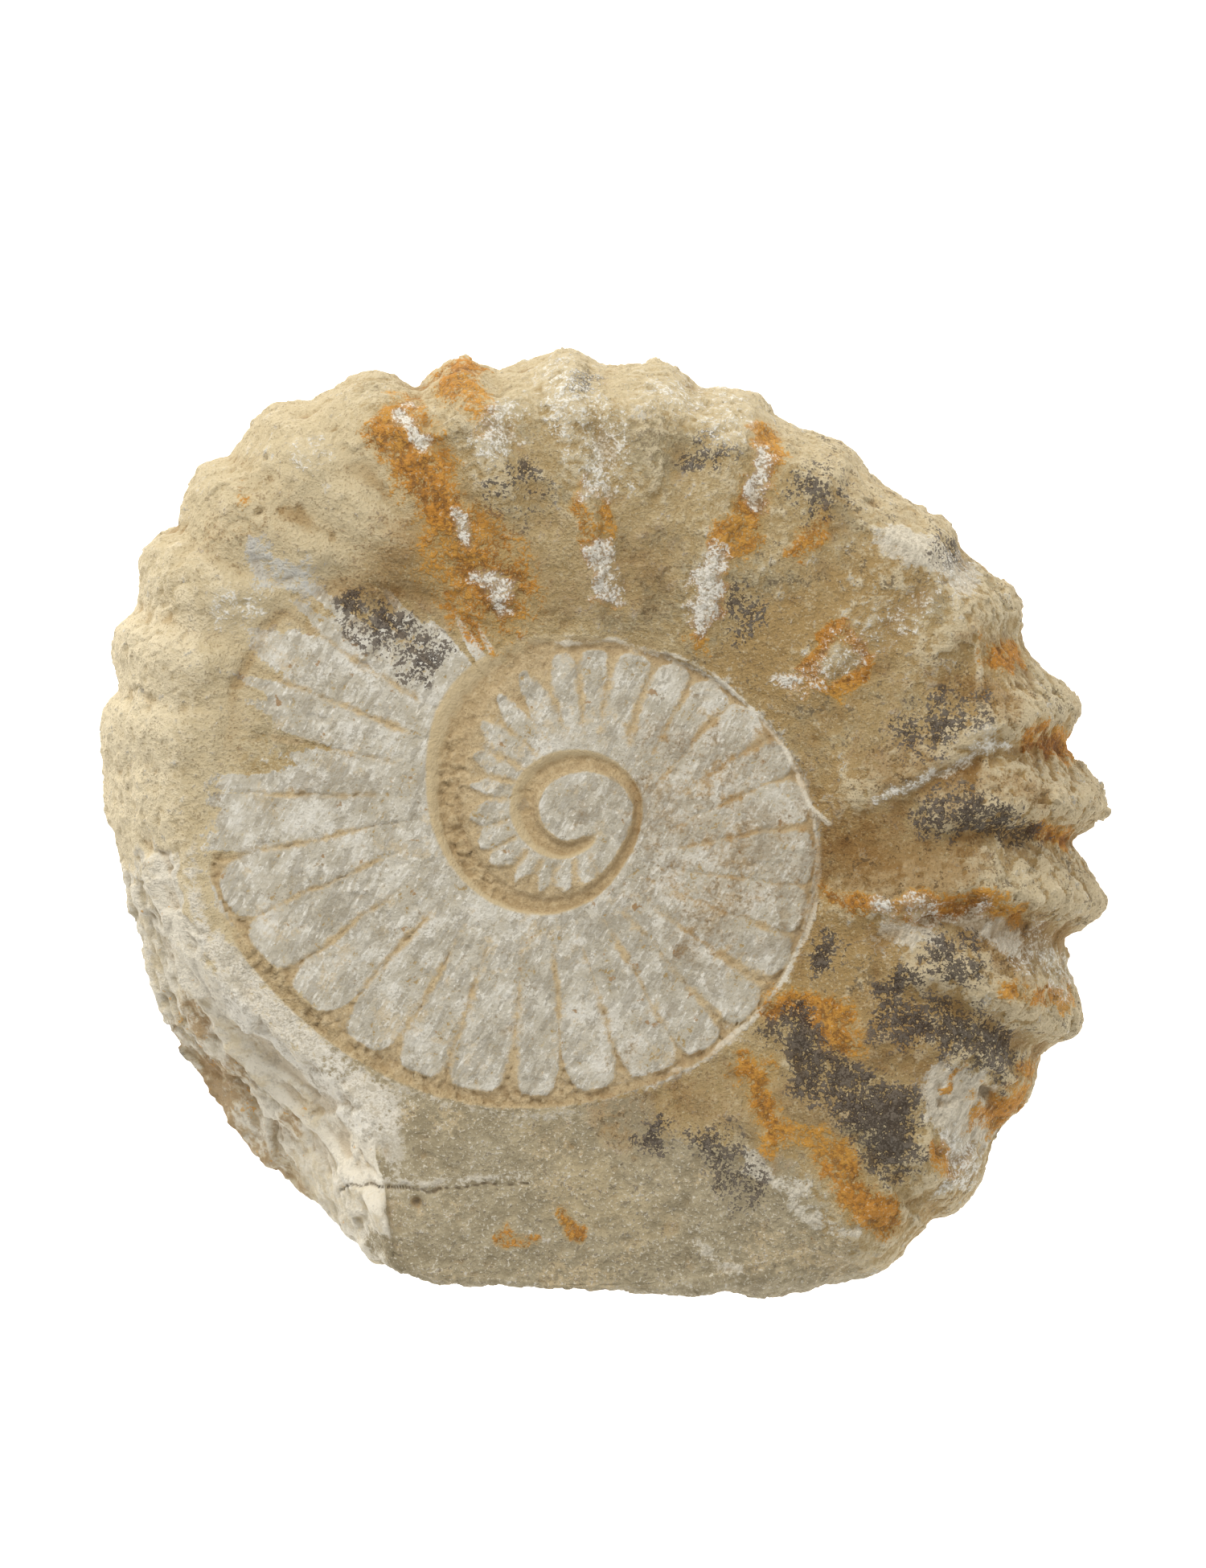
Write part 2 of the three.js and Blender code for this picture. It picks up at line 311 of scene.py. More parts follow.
def carve(angle, radius):  # the groove's depth, the sand in it and the bevel beside it
    cut = np.zeros_like(angle)
    sand = np.zeros_like(angle)
    bevel = np.zeros_like(angle)
    for loop in range(3):
        turn = np.mod(carving["start"] - angle, 360) + 360 * loop
        off = radius - spiralRadius(turn)
        half = along(carving["halfWidth"], turn)
        slope = along(carving["bevel"], turn)
        deep = along(carving["depth"], turn)
        outside = smooth((half + slope - off) / (slope + half * 0.4)) ** 1.3
        inside = smooth((half + off) / (half * 0.85))
        cut = np.maximum(cut, deep * np.where(off > 0, outside, inside))
        there = smooth(deep / 0.4)
        sand = np.maximum(sand, smooth((half - np.abs(off)) / 0.8 + 0.5) * there)
        bevel = np.maximum(bevel, smooth((half + slope - off) / 0.8 + 0.2) * smooth(off / 0.6 + 0.5) * there)
    return cut, sand, bevel


# how deep the notches and lines between petals are, how near a line is, and 0 at a line to 1 mid petal
def petals(angle, radius, ragged):
    depth = np.zeros_like(angle)
    beside = np.zeros_like(angle)
    crown = np.ones_like(angle)
    grow, step = carving["petalGrowth"], carving["petalStep"]
    for loop in range(1, 4):
        turn = np.mod(carving["start"] - angle, 360) + 360 * loop
        outer = spiralRadius(turn)
        inner = spiralRadius(turn - 360)
        inside = (radius < outer) & (radius >= inner) & (turn > 375) & (turn < 930)
        share = np.clip((radius - inner) / (outer - inner), 0, 1)
        unrolled = carving["start"] + 720 - turn
        miss = along(carving["petalMiss"], unrolled)
        lean = np.degrees(np.arcsin(miss / np.maximum(radius, miss + 1)) - np.arcsin(miss / (outer + 1)))
        past = step * step + 4 * grow * (unrolled + lean - carving["firstPetal"])
        place = (np.sqrt(np.maximum(past, 1)) - step) / (2 * grow)  # how many petals lie before this one
        sway = 0.05 * np.sin(place * 2.3) + 0.04 * np.sin(place * 5.1 + share * 2)
        place = place + sway * smooth(place / 12)
        spacing = (step + 2 * grow * place) * radius * math.pi / 180
        place = place + ragged * smooth(share * 1.6) / np.maximum(spacing, 1)
        off = np.abs(place - np.round(place)) * spacing
        toTip = np.maximum(outer - along(carving["halfWidth"], turn) * 0.6 - radius, 0)
        uneven = 1 + 0.4 * np.sin(np.round(place) * 4.7)
        tipShare = mix(0.26, 0.36, smooth((turn - 500) / 60))
        tip = np.minimum(carving["petalTip"], (outer - inner) * tipShare) * uneven
        near = np.clip(1 - toTip / tip, 0, 1)
        # the inner whorls' petals are pointed, the outer one's nearly flat at the tip
        worn = smooth((turn - 570) / 50) * smooth((750 - turn) / 40)  # the tips are nearly ground away
        mouth = (0.34 + 0.1 * np.sin(np.round(place) * 1.7 + 1)) * (1 - 0.6 * worn)
        blunt = mouth * near**1.4 + (1 - mouth) * near**12
        notch = spacing / 2 * mix(near, blunt, smooth((turn - 520) / 60))
        notch = notch * smooth((turn - 385) / 20) * smooth((848 - turn) / 8) * (1 - 0.35 * worn)
        line = carving["petalLine"] * smooth(share * 2.2)
        fade = smooth((share - 0.06) / 0.3) * mix(1, smooth((0.97 - share) / 0.3), smooth((turn - 835) / 12))
        cut = smooth((notch + line + 0.36 - off) / 0.66) * fade
        depth = np.where(inside, cut * carving["petalDepth"] * (1 + np.minimum(notch, 1.4)), depth)
        beside = np.where(inside, bell(off - notch * 0.9, 0.75) * fade, beside)
        rounded = 1 - (1 - np.clip(off / (spacing / 2 + 1e-6), 0, 1)) ** 2.5
        crown = np.where(inside, rounded, crown)
    return depth, beside, crown


def gridNormals(points):
    byRow = np.gradient(points, axis=0)
    byColumn = np.gradient(points, axis=1)
    normal = np.cross(byColumn, byRow)
    return normal / np.maximum(np.linalg.norm(normal, axis=-1, keepdims=True), 1e-9)


def softened(values, times):  # each point moved to the middle of its neighbours, over and over
    for _ in range(times):
        inner = values[1:-1, 1:-1]
        sides = values[:-2, 1:-1] + values[2:, 1:-1] + values[1:-1, :-2] + values[1:-1, 2:]
        values = values.copy()
        values[1:-1, 1:-1] = inner * 0.5 + sides * 0.125
    return values


def stretched(values, old, new):  # rows at the old places moved to the new ones
    i = np.clip(np.searchsorted(old, new, side="right") - 1, 0, len(old) - 2)
    share = ((new - old[i]) / (old[i + 1] - old[i])).reshape(-1, *([1] * (values.ndim - 1)))
    return mix(values[i], values[i + 1], share)


def broadly(values):  # softened over a good 5 mm
    count = len(values)
    kept = np.linspace(0, count - 1, 110).round().astype(int)
    coarse = softened(values[kept][:, kept], 16)
    rows = stretched(coarse, kept, np.arange(count))
    return stretched(rows.swapaxes(0, 1), kept, np.arange(count)).swapaxes(0, 1)


class Side:  # one side of the rock, with what is known about each of its points
    def __init__(self, angle, radius, height, facing, **known):
        turn = np.radians(angle)
        self.angle = angle
        self.x = radius * np.cos(turn)
        self.y = radius * np.sin(turn)
        self.points = np.stack((self.x, self.y, height), axis=-1)
        self.normal = gridNormals(self.points) * facing
        vars(self).update(known)

    def pushOut(self, amount):
        self.points = self.points + self.normal * amount[..., None]

    def sinks(self):  # how far each point lies below its near and far surroundings, where 0.5 is level; the finish paints shade into hollows and valleys with these
        near = np.sum((softened(self.points, 24) - self.points) * self.normal, axis=-1)
        far = np.sum((broadly(self.points) - self.points) * self.normal, axis=-1)
        return {"hollow": np.clip(near * 1.2 + 0.5, 0, 1), "valley": np.clip(far * 0.5 + 0.5, 0, 1)}


def topShape(angle, reach):
    edge = around(rock["groundEdge"], angle)
    turn = around(rock["shoulder"], angle)
    wide = around(rock["outline"], angle)
    square = around(rock["squareness"], angle)
    rise = around(rock["swell"], angle)
    ground, equator = rock["groundHeight"], rock["equatorHeight"]
    sideLength = (wide - turn) * 0.6 + (ground - equator)
    walked = reach * (turn + sideLength)  # distance walked from the centre outwards, over the rock
    flank = np.clip((walked - edge) / (turn - edge), 0, 1)
    bend = np.clip((walked - turn) / sideLength, 0, 1) * math.pi / 2
    radius = np.minimum(walked, turn)
    lift = ribLift(angle, flank)
    onFlank = smooth((walked - edge) / 1.6)
    swell = rise * np.sin(math.pi * 0.8 * flank) ** 1.2
    height = ground + (swell + lift * rock["flankRibShare"]) * onFlank
    corner = (np.sin(bend) ** square + np.cos(bend) ** square) ** (-1 / square)
    out, up = np.sin(bend) * corner, np.cos(bend) * corner
    sideRadius = mix(turn, wide, out) + lift * out
    shoulderHeight = ground + rise * math.sin(math.pi * 0.8) ** 1.2
    sideHeight = mix(equator, shoulderHeight, up) + lift * rock["flankRibShare"] * np.cos(bend)
    onSide = walked > turn
    radius = np.where(onSide, sideRadius, radius)
    height = np.where(onSide, sideHeight, height)
    return Side(angle, radius, height, 1, walked=walked, flank=flank, onFlank=onFlank, lift=lift)


def backShape(angle, reach):
    wide = around(rock["outline"], angle)
    back = around(rock["backEdge"], angle)
    foot = back * rock["footShare"]
    equator, low = rock["equatorHeight"], rock["backHeight"]
    sideLength = (wide - back) * 0.6 + (equator - low)
    walked = reach * (back + sideLength)
    bend = np.clip((back + sideLength - walked) / sideLength, 0, 1) * math.pi / 2
    lift = ribLift(angle, np.ones_like(angle)) * np.cos(bend) ** 1.5
    radius = np.minimum(walked, back)
    height = low * smooth((walked - foot) / (back - foot))
    onSide = walked > back
    radius = np.where(onSide, mix(back, wide, np.cos(bend)) + lift, radius)
    height = np.where(onSide, mix(equator, low, np.sin(bend)), height)
    return Side(angle, radius, height, -1, walked=walked, bend=bend, foot=foot)


def within(angle, start, end, soft):  # 1 between two angles, fading out over soft degrees
    middle, half = (start + end) / 2, (end - start) / 2
    off = np.abs(np.mod(angle - middle + 180, 360) - 180)
    return smooth((half - off) / soft + 0.5)


def carried(values, angle):  # what the rim has, carried round onto the back at the same angle
    rims = [np.concatenate((v[0], v[-1], v[1:-1, 0], v[1:-1, -1])) for v in (angle, values)]
    return np.interp(angle, rims[0], rims[1], period=360)


def toLine(x, y, points):  # distance to a broken line
    nearest = np.full_like(x, 1e3)
    if len(points) == 1:
        points = points * 2
    for (ax, ay), (bx, by) in zip(points[:-1], points[1:]):
        length = max((bx - ax) ** 2 + (by - ay) ** 2, 1e-9)
        t = np.clip(((x - ax) * (bx - ax) + (y - ay) * (by - ay)) / length, 0, 1)
        nearest = np.minimum(nearest, np.hypot(x - ax - t * (bx - ax), y - ay - t * (by - ay)))
    return nearest


# stains: strength, half width and the line each follows, in mm about the spiral's centre
stains = {
    "rust": [
        (1.0, 3.6, [(-26, 55), (-22, 47), (-18, 40)]), (0.9, 5.5, [(-17, 38), (-12, 30)]),
        (1.0, 3.6, [(-17.5, 62.5)]), (0.6, 2.2, [(-16, 58), (-13, 55)]),
        (0.75, 1.2, [(1.7, 47), (3.5, 29.5)]), (0.9, 2.2, [(27.6, 53), (23.6, 42), (20.2, 33), (17.3, 25)]),
        (0.95, 1.1, [(32.5, 20.6), (34, 23.6), (37, 24.4), (40, 22.4), (39.5, 19),
            (36.5, 17.2), (33.5, 17.8), (32.5, 20.6)]),
        (0.7, 1.8, [(31, 17.3)]), (0.7, 1.5, [(35, 42), (31.7, 36.3)]),
        (1.0, 1.8, [(67, 10.5), (71.5, 9.2)]), (1.0, 1.7, [(66, -3), (71, -4.4)]),
        (1.0, 1.8, [(59.5, 22), (63.5, 21.5)]),
        (0.9, 1.5, [(36.3, -13), (45.5, -15), (56, -13.2), (63, -14.4)]),
        (0.8, 1.3, [(62, -26.5), (71, -27.6)]), (1.0, 2.7, [(30, -28.2), (38.6, -32.3)]),
        (1.0, 2.4, [(25.3, -38), (28.2, -45.5)]), (0.8, 1.8, [(31, -46.7), (36.3, -51.3)]),
        (1.0, 2.8, [(37, -51.3), (43.8, -59.3)]), (0.8, 1.6, [(51.3, -50), (56, -51.3)]),
        (1.0, 2.4, [(59.4, -44), (63.4, -42.6)]), (0.9, 1.4, [(64.5, -37.5), (66, -39)]),
        (0.7, 0.7, [(53, -39.5), (56, -37.5)]), (0.9, 1.0, [(-2.8, -59.6), (-0.6, -62.5)]),
        (0.6, 0.9, [(-10.5, -62), (-7, -62.4)]), (0.5, 1.6, [(-48, 43.5)]),
    ],
    "calcite": [
        (1.0, 1.2, [(-24.8, 56), (-22.5, 51.3)]), (0.9, 1.2, [(-17.3, 41), (-16, 38.6)]),
        (0.9, 1.6, [(-13.2, 31.7), (-11, 29.4)]), (0.7, 2.0, [(-13.2, 51.3), (-9.8, 56)]),
        (0.7, 1.6, [(3, 52), (3, 46)]), (0.9, 1.5, [(3.5, 36.3), (3.5, 30.5)]),
        (0.38, 4.5, [(-2, 60), (4, 50)]), (0.9, 1.5, [(26, 50), (24.8, 44.4)]),
        (1.0, 2.1, [(20.2, 35), (18, 28.2)]), (0.7, 1.8, [(30.5, 17.5)]), (0.6, 0.9, [(36.5, 21.6)]),
        (0.32, 2.4, [(33, 19), (40, 23.6), (50, 30.5), (55, 35)]),
        (0.8, 1.0, [(44.4, 2.3), (51.3, 5.2), (62, 9)]), (0.9, 1.5, [(43.8, -14.4)]),
        (0.6, 1.2, [(47, -15), (57.6, -15)]), (0.8, 2.0, [(55, -48), (58, -53.6)]),
        (0.26, 4.5, [(12, 60), (22, 57)]), (0.3, 3.0, [(-38, 50)]), (0.8, 1.6, [(54, -54), (58, -54)]),
        (0.5, 2.4, [(72, -25), (66, -20)]), (0.36, 2.0, [(-51, 27), (-47, 30)]),
    ],
    "manganese": [
        (0.85, 2.4, [(36, -21)]), (0.85, 2.6, [(45.5, -25)]), (0.8, 3.2, [(46, -30), (54, -32), (60, -36)]),
        (0.95, 3.2, [(31, -33), (36, -38), (46, -44)]), (0.95, 3.4, [(40, -43), (45, -49)]),
        (0.6, 3.0, [(52, -20), (56, -23)]), (0.8, 2.4, [(11.5, -47.8)]), (0.5, 3.4, [(20, -50), (24, -53)]),
        (0.66, 3.0, [(52, -1), (58, -2.5)]), (0.7, 2.0, [(56, -20)]), (0.75, 2.8, [(-31, 28.5), (-22, 21)]),
        (0.5, 3.0, [(18, 51)]), (0.55, 4.0, [(34, 44.4)]), (0.5, 3.0, [(24.8, 27)]),
        (0.55, 3.2, [(53.6, 36.3)]), (0.3, 5.0, [(-8.6, 45.5)]), (0.6, 2.0, [(0.6, 61)]),
        (0.6, 2.0, [(62, -3), (66, -4)]), (0.5, 3, [(47, 10), (55, 14)]),
    ],
    "umber": [
        (0.8, 7, [(42, -7), (50, -10)]), (0.7, 5, [(46, 6), (54, 3)]), (0.2, 6, [(44, 17), (52, 16)]),
        (0.15, 4, [(2, 0)]), (0.45, 7, [(8, -44), (20, -42)]), (0.5, 6, [(-29, 30), (-22, 40)]),
        (0.45, 11, [(20, 2), (20, -10)]), (0.6, 5, [(60, -18), (64, -20)]),
        (0.5, 8, [(46, -34), (30, -44)]), (0.4, 7, [(-8, 34), (8, 34)]), (0.4, 3, [(58, 24), (62, 20)]),
        (0.6, 2.6, [(56, 17), (62, 15)]), (0.6, 2.6, [(62, 3), (66, 2)]), (0.3, 7, [(-47, 41)]),
    ],
    "scar": [
        (0.8, 3, [(46, 38), (55, 33)]), (0.4, 2.4, [(51, 8.5), (58, 10)]),
        (0.9, 4.4, [(53, -40), (57, -47)]), (0.7, 2.4, [(57, -16), (64, -19)]),
        (0.6, 2.5, [(44, -18), (50, -18)]), (0.66, 1.6, [(25.5, -50), (32, -57), (39, -62)]),
        (0.5, 1.4, [(16, -63), (24, -67)]),
    ],
    "bloom": [(0.7, 3.4, [(-45, 35), (-41, 32)])],
    "smudge": [
        (0.8, 1.2, [(27, 0), (27, -9)]), (0.8, 1.2, [(29, -12), (28, -20)]),
        (0.9, 0.8, [(3.6, 2.8), (5.2, 1)]), (0.9, 0.6, [(13.5, 1), (18.8, 0.6)]),
        (0.8, 0.8, [(-8.5, 0.8), (-7.5, 2.4)]), (0.8, 1, [(9.5, -4), (9, -6.5)]),
        (0.7, 0.8, [(15.5, -21), (19, -23), (18.5, -28), (14.5, -29), (13, -25), (15.5, -21)]),
        (0.6, 2, [(-40, 3), (-30, 2)]), (0.6, 2, [(-52, -2), (-47, -6)]),
    ],
}


def stained(kind, points):  # how strongly one kind of stain shows, with its edges pulled about
    x = points[..., 0] + rough(points, 5, 3, 61) * 1.7 + noise(points, 1.3, 62) * 0.5
    y = points[..., 1] + rough(points, 5, 3, 63) * 1.7 + noise(points, 1.3, 64) * 0.5
    amount = np.zeros_like(x)
    for strength, half, line in stains[kind]:
        amount = np.maximum(amount, strength * smooth(1.1 - 0.6 * toLine(x, y, line) / half))
    return amount


weather = {  # spans are in degrees, places in mm about the spiral's centre, depths and heights in mm
    "shellEdge": [  # radius of the thin shell edge that stands up outside the seam, by angle
        (-68, 40.6), (-59, 40), (-43, 39.2), (-31, 37.9), (-24, 37), (-17, 35.9), (-3, 34), (11, 31.9),
        (28, 29), (38, 27.8), (55, 26), (67, 24.6), (94, 23.8),
    ],
    "shellBranch": [(31.6, 4.5), (33.4, 0.1), (36, -2.4)],
    "shellSpan": (-72, 98),
    "shellHeight": 0.34,
    "rimSpan": (-2, 46),  # the crisp shoulder between two ribs
    "rimHeight": 0.7,
    "softRibSpan": (118, 184),  # ribs that carry on over the left of the face
    "softRibShare": 0.3,
    "crumbSpan": (150, 320),  # crumbs of sand left in the groove
    "crumbSize": 1.3,
    "crumbHeight": 0.5,
    "brokenSpan": (187, 246),
    "brokenBackSpan": (188, 247),
    "crack": [(-34, -55.6), (-30, -54.4), (-22, -55.2), (-14, -54.4), (-7, -54)],
    "crackWidth": 0.22,
    "crackDepth": 0.5,
    "pits": [  # strength, half width and place
        (1, 0.8, [(-23.2, -56.8)]), (0.7, 0.45, [(-45.9, 42), (-45.3, 42.4)]), (1, 0.4, [(-44.8, 50.2)]),
    ],
    "pitDepth": 1.2,
    "scoop": [(57, -42.5), (56, -46)],
    "scoopRadius": 6,
    "scoopDepth": 0.8,
    "hole": [(59.6, -42), (60.4, -42.6)],
    "holeRadius": 1.1,
    "holeDepth": 1.3,
    "tanReach": [  # how near to the centre the tan crust comes, by angle
        (0, 60), (110, 22), (126, 30), (140, 44), (150, 52), (162, 49), (172, 43), (180, 55), (205, 58),
    ],
}


def findRegions(top):  # how far each point of the upper side belongs to each region
    angle, walked, points = top.angle, top.walked, top.points
    pastShoulder = walked - around(rock["shoulder"], angle)
    top.texture = rough(points, 7, 3) * 0.4 + rough(points, 1.8, 2, 9) * 0.12
    top.onGround = 1 - top.onFlank
    top.side = smooth(pastShoulder / 2)
    jagged = angle + rough(points, 6, 3, 91) * 3
    top.broken = within(jagged, *weather["brokenSpan"], 5) * smooth((pastShoulder - top.texture * 4) / 2)
    matrixEnd = mix(284, 302, smooth((walked - 46) / 14))
    top.matrix = within(angle, 222, matrixEnd, 14) * (1 - top.onGround)
    cream = within(angle, 116, 250, 18) * smooth((walked - 38) / 16)
    cream = np.maximum(cream, within(angle, 30, 118, 20) * smooth((walked - 52) / 12) * 0.75)
    cream = np.maximum(cream, within(angle, 246, 300, 10) * top.side * 0.8)
    top.cream = np.maximum(cream, within(angle, -60, 30, 20) * top.side * 0.3)


def carveFace(top):  # the groove, the petals, the shell edge and the crisp shoulder
    angle, walked, points = top.angle, top.walked, top.points
    cut, sandy, top.bevel = carve(angle, walked)
    ragged = rough(points, 2.6, 3, 19) * 0.28 + noise(points, 7, 23) * 0.3
    notch, beside, top.crown = petals(angle, walked, ragged)
    notch = notch * top.onGround
    top.sandy = np.maximum(sandy, smooth(notch / 0.24) * 0.85)
    top.dusty = np.maximum(beside * top.onGround * (0.6 + 0.5 * noise(points, 4, 24)), top.sandy)
    petalFace = top.crown * carving["petalCrown"] * top.onGround * smooth((walked - 9) / 3)

    signed = np.mod(angle + 180, 360) - 180
    toShell = walked + rough(points, 6, 2, 71) * 0.5 - along(weather["shellEdge"], signed)
    shell = np.maximum(bell(toShell, 0.45), bell(toShell - 0.9, 0.3) * 0.35)
    shell = shell * within(angle, *weather["shellSpan"], 8) * (0.65 + 0.35 * noise(points, 4, 5))
    branch = toLine(top.x, top.y, weather["shellBranch"])
    top.shell = np.maximum(shell, bell(branch, 0.45) * 0.9)

    toRim = walked - around(rock["shoulder"], angle) + 0.5 - top.texture * 3
    betweenRibs = 1 - 0.8 * smooth(top.lift / 6)
    top.rim = bell(toRim, 0.9) * within(angle, *weather["rimSpan"], 12) * betweenRibs
    shellAndRim = top.shell * weather["shellHeight"] + top.rim * weather["rimHeight"]
    return petalFace - np.maximum(cut, notch) + shellAndRim


def breakSide(top):  # ledges and chips of the broken side, stretched along its slope
    points = top.points
    slope = (top.x * 0.3 - top.y * 0.4, top.x * 0.78 + top.y * 0.62, points[..., 2] * 0.8)
    top.alongFace = np.stack(slope, axis=-1)
    steps = rough(top.alongFace, 12, 3, 31) * 2.4
    ledge = np.floor(steps)
    facets = chipped(top.bent, 13, 31) * 1.3 + chipped(top.alongFace, 4.5, 32) * 0.5
    facets = facets + chipped(top.alongFace, 1.8, 33) * 0.22
    chunks = (ledge + smooth((steps - ledge) * 2.2)) * 0.5 + softened(facets, 1)
    chunks = chunks + folded(points, 6, 4, 36) * 0.6
    chunks = chunks + folded(points, 3, 3, 39) * 0.3 * smooth((top.walked - 68) / 6)
    halfway = bell(top.walked - 67 - noise(top.alongFace, 7, 38) * 3, 2.4) * 1.5
    return chunks + halfway - 0.5


def addDamage(top):  # depth of the crack, the pits and the scooped break with its hole
    w = weather
    wavyX = top.x + noise(top.points, 2, 81) * 0.5
    wavyY = top.y + noise(top.points, 2, 82) * 0.5
    crack = bell(toLine(wavyX, wavyY, w["crack"]), w["crackWidth"])
    pit = sum(strength * bell(toLine(top.x, top.y, place), half) for strength, half, place in w["pits"])
    toScoop = toLine(top.x, top.y, w["scoop"]) - noise(top.points, 4, 83) * 1.2
    scooped = smooth((w["scoopRadius"] - toScoop) / 1.1)
    hole = bell(toLine(top.x, top.y, w["hole"]), w["holeRadius"])
    top.dark = crack + pit * 0.8 + hole * 0.9
    cracked = crack * w["crackDepth"] + pit * w["pitDepth"]
    return cracked + scooped * w["scoopDepth"] + hole * w["holeDepth"]


def weatherTop(top):
    angle, walked, points = top.angle, top.walked, top.points
    pits = smooth((noise(points, 1.5, 21) - 0.55) / 0.25) + smooth((noise(points, 2.6, 25) - 0.6) / 0.2)
    top.bent = points + rough(points, 3, 2, 92)[..., None] * 0.5
    scaly = chipped(top.bent, 3.4, 35) * 0.45 + chipped(top.bent, 1.7, 36) * 0.25
    onFace = noise(points, 9, 3) * 0.12 + rough(points, 1.3, 2, 14) * 0.06 - pits * 0.2
    onMatrix = rough(points, 6, 3, 41) * 0.3 + rough(points, 1.2, 2, 44) * 0.1 - pits * 0.25
    wear = mix(top.texture - pits * 0.2, onFace, top.onGround)
    wear = mix(wear, onMatrix, top.matrix * (1 - top.side))
    wear = mix(wear, breakSide(top), top.broken)

    wear = wear + top.sandy * rough(points, 0.9, 2, 51) * 0.14
    crumbs = chipped(points, weather["crumbSize"], 34) * weather["crumbHeight"]
    inGroove = top.sandy * smooth((walked - 15) / 3) * within(angle, *weather["crumbSpan"], 20)
    wear = wear + crumbs * inGroove
    crust = np.maximum(stained("calcite", points), stained("rust", points) * 0.8)
    wear = wear + smooth(crust * 1.5) * rough(points, 1.6, 3, 55) * 0.22
    rocky = rough(points, 3.4, 3, 57) * 0.3 + folded(points, 6, 3, 58) * 0.35 + scaly * 0.6 - 0.1
    wear = wear + top.side * (1 - top.broken) * rocky
    wear = wear + smooth(top.lift / 3 - 0.4) * top.onFlank * (scaly * 0.5 - pits * 0.15)
    softRibs = within(angle, *weather["softRibSpan"], 15) * smooth(top.flank * 1.6)
    return wear - addDamage(top) + top.lift * weather["softRibShare"] * softRibs


def weatherBack(back):
    points = back.points
    plain = rough(points, 8, 4) * 0.45 + chipped(points, 5, 37) * 0.3 - 0.2
    chunks = folded(points, 11, 4, 31) * 0.9 + rough(points, 2.2, 2, 36) * 0.25 - 0.6
    chunks = chunks + chipped(points, 11, 31) * 1.6 + chipped(points, 4.5, 32) * 0.7
    broken = within(back.angle, *weather["brokenBackSpan"], 12) * smooth(np.cos(back.bend) * 2)
    offFoot = smooth((back.walked - back.foot) / 6)
    return mix(plain, chunks, broken) * offFoot


def chalkBand(top):  # bare white stone along the broken shoulder, below the seam and above the crack
    angle, walked = top.angle, top.walked
    toEdge = around(rock["shoulder"], angle) - walked
    pastGround = walked - around(rock["groundEdge"], angle)
    wider = 6 * within(angle, 208, 238, 10)
    shoulder = within(angle, 186, 244, 12) * smooth((pastGround - 1) / 3)
    shoulder = shoulder * smooth((8 - toEdge) / 5) * smooth((toEdge + 2 + wider) / 3) * 0.8
    belowSeam = bell(pastGround - 2.2, 1) * within(angle, 225, 275, 16) * 0.42
    raised = [(px, py + 1) for px, py in weather["crack"]]
    aboveCrack = bell(toLine(top.x, top.y, raised), 0.8) * 0.6
    return np.maximum(np.maximum(shoulder, belowSeam), aboveCrack)


def groundFace(top):  # where the stone is ground bare, with the tan crust creeping in from the left
    angle, walked = top.angle, top.walked
    streaks = noise(np.stack((angle * 0.55, walked * 0.09, angle * 0), axis=-1), 1, 73)
    tanReach = around(weather["tanReach"], angle) + (top.crown - 0.75) * 9 + streaks * 6
    tan = smooth((walked - tanReach) / 5 + 0.5) * within(angle, 105, 205, 12)
    left = within(angle, 130, 196, 8) * smooth((56 - walked) / 6)
    return np.maximum(top.onGround, left) * (1 - tan)


def topMarks(top):  # what shows on the upper side
    angle, walked = top.angle, top.walked
    marks = {
        "ground": groundFace(top),
        "band": chalkBand(top),
        "crack": top.dark,
        "bevel": top.bevel,
        "sand": top.dusty * np.where(walked < 62, 1, 0),
        "shell": np.maximum(top.shell, top.rim * 0.36),
        "matrix": top.matrix,
        "broken": top.broken,
        "low": smooth((walked - 68) / 4) * within(angle, 205, 233, 10) * top.broken,
        "slope": smooth((walked - 64 - noise(top.alongFace, 6, 38) * 4) / 7) * top.broken,
        "cream": top.cream,
        "pale": within(angle, 150, 216, 20) * smooth((walked - 52) / 12),
        "lift": np.clip(top.lift / 5, 0, 1) * top.onFlank,
        "warm": within(angle, -50, 60, 50) * top.onFlank,
    }
    for kind in stains:
        marks[kind] = stained(kind, top.points)
    return marks | top.sinks()


def backMarks(back, marks):  # the rim's marks carried on round the side, and plain rock under it
    onSide = smooth(np.cos(back.bend) * 1.6)
    carriedOn = {name: carried(amount, back.angle) * onSide for name, amount in marks.items()}
    carriedOn["matrix"] = np.maximum(carriedOn["matrix"], 1 - onSide)
    for kind in stains:
        carriedOn[kind] = stained(kind, back.points) * onSide
    return carriedOn | back.sinks()


def joined(topValues, backValues):  # the back shares the upper side's rim
    size = topValues.shape[2:]
    return np.concatenate((topValues.reshape(-1, *size), backValues[1:-1, 1:-1].reshape(-1, *size)))


def quads(index):
    corners = (index[:-1, :-1], index[:-1, 1:], index[1:, 1:], index[1:, :-1])
    return np.stack(corners, axis=-1).reshape(-1, 4)


